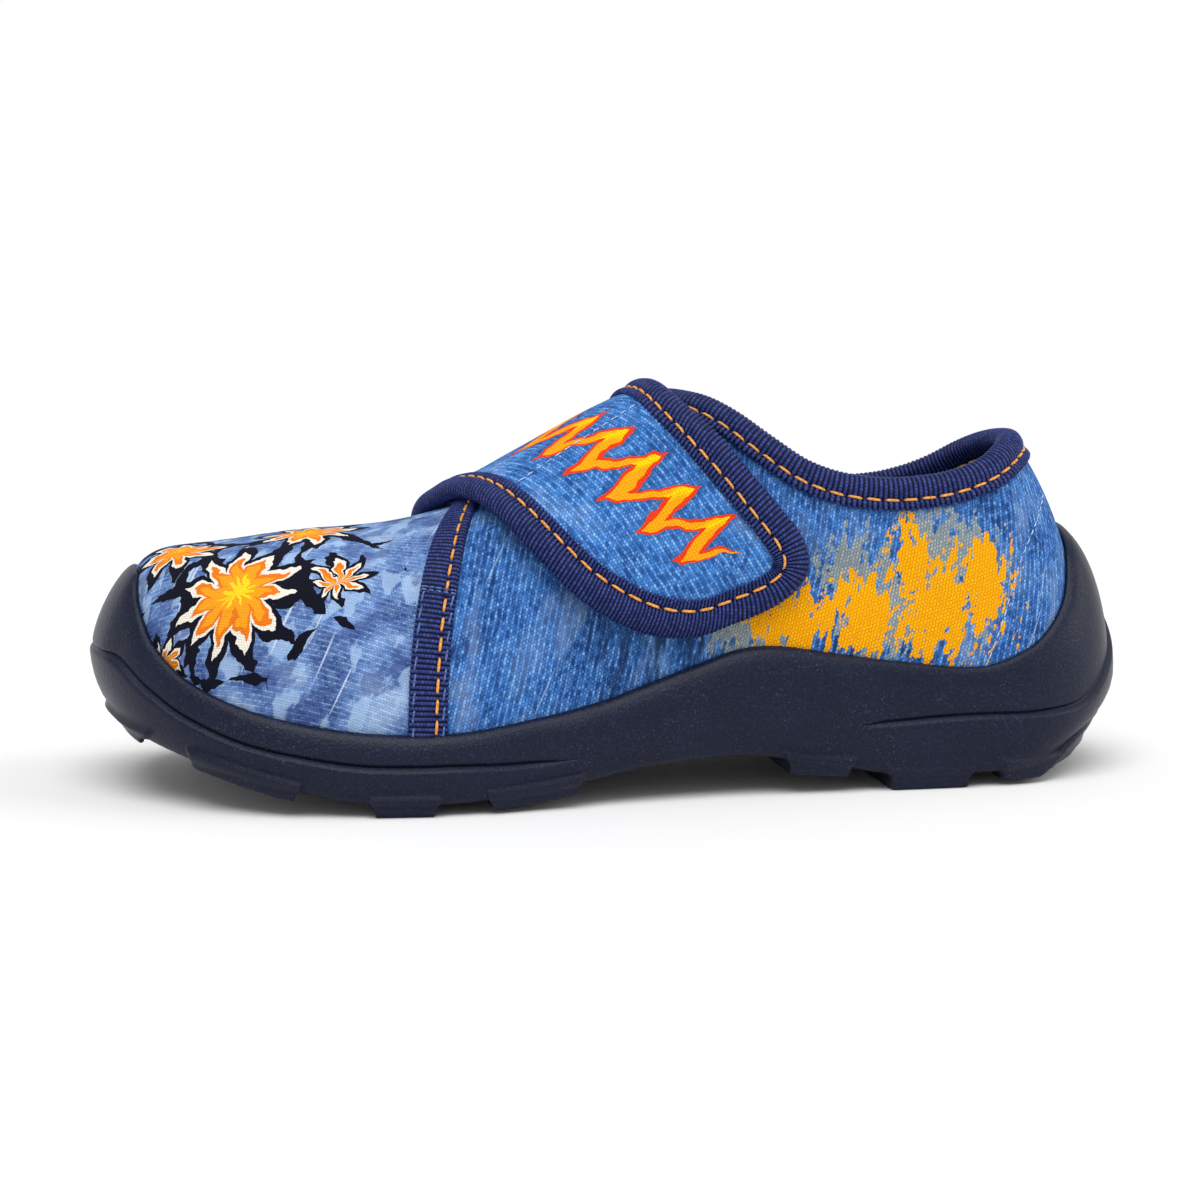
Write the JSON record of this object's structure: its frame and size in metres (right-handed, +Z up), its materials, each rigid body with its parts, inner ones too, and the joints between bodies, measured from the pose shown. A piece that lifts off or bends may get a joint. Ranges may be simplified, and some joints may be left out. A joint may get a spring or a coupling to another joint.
{
  "type": "house slipper",
  "caption": "Child's closed textile house slipper with a moulded wrap-around sole, printed canvas upper, ribbed tape edging and a hook-and-loop strap over the instep.",
  "frame": {"origin": "on the floor, under the middle of the slipper's box", "axes": "+X to the toe, +Y to the outer side of the left foot, +Z up"},
  "size_m": [0.195, 0.0778, 0.0742],
  "materials": {
    "moulding": "matte moulded foam",
    "canvas": "printed cotton twill",
    "tape": "ribbed grosgrain",
    "lining": "plain weave"
  },
  "bodies": {
    "root": {"sole": "moulding", "upper": "canvas", "insole": "lining", "collar_tape": "tape", "seam_tape_outer": "tape", "seam_tape_inner": "tape", "strap": "canvas", "strap_tape": "tape"}
  },
  "joints": []
}
